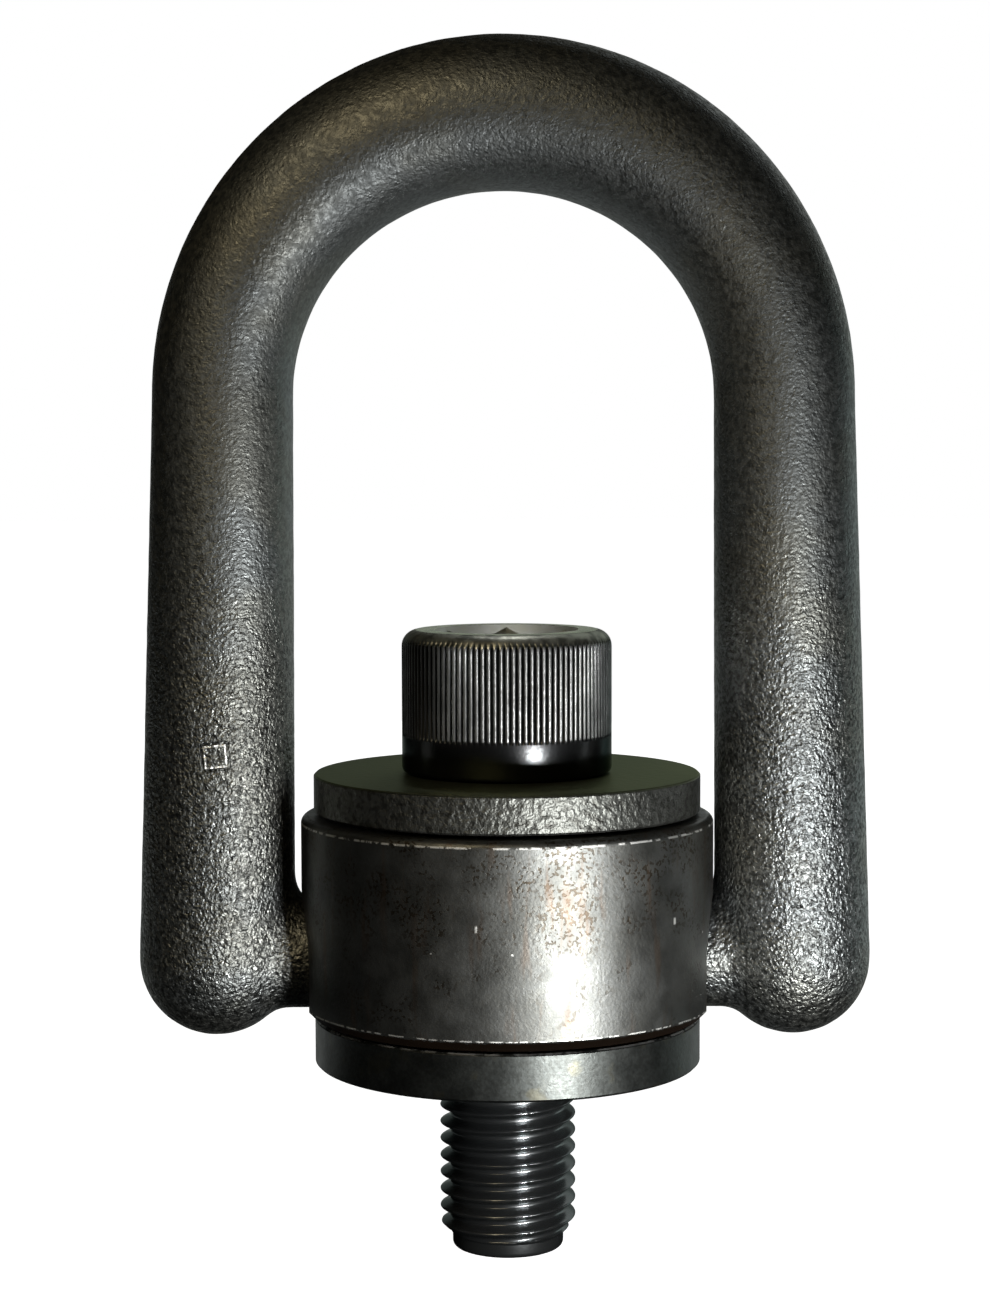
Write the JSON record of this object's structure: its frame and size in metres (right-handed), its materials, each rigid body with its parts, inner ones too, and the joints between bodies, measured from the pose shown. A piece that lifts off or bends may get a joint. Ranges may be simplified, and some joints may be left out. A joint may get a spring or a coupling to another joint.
{
  "type": "swivel hoist ring",
  "caption": "Swivelling lifting ring with a forged U-shaped bail on trunnions, a round support body, a washer, a flanged bushing and a socket head cap screw.",
  "frame": {"origin": "centre of the mounting face, the underside of the bushing's flange, on the screw's axis", "axes": "+Z along the screw's axis, away from the load and towards the head; X along the bail's trunnions; bail upright at rest"},
  "size_m": [0.0854, 0.048, 0.1408],
  "materials": {
    "machined_steel": "turned and black oxided, worn",
    "forged_steel": "forged, shot peened and black oxided",
    "washer_steel": "black oxided, coarse",
    "screw_steel": "black oxided and oiled",
    "spring_steel": "phosphated"
  },
  "bodies": {
    "bushing": {"flanged_bushing": "machined_steel"},
    "swivel": {"swivel_body": "machined_steel"},
    "bail": {"bail": "forged_steel"},
    "washer": {"top_washer": "washer_steel"},
    "screw": {"cap_screw": "screw_steel", "retaining_ring": "spring_steel"}
  },
  "joints": [
    {"name": "swivel_turn", "type": "hinge", "parent": "bushing", "child": "swivel", "pos_m": [0, 0, 0.0172], "axis": [0, 0, 1], "continuous": true},
    {"name": "bail_pivot", "type": "hinge", "parent": "swivel", "child": "bail", "pos_m": [0, 0, 0.01215], "axis": [1, 0, 0], "range_deg": [-90, 90]},
    {"name": "washer_turn", "type": "hinge", "parent": "bushing", "child": "washer", "pos_m": [0, 0, 0.0316], "axis": [0, 0, 1], "continuous": true},
    {"name": "screw_turn", "type": "hinge", "parent": "bushing", "child": "screw", "pos_m": [0, 0, 0.0172], "axis": [0, 0, 1], "continuous": true}
  ]
}
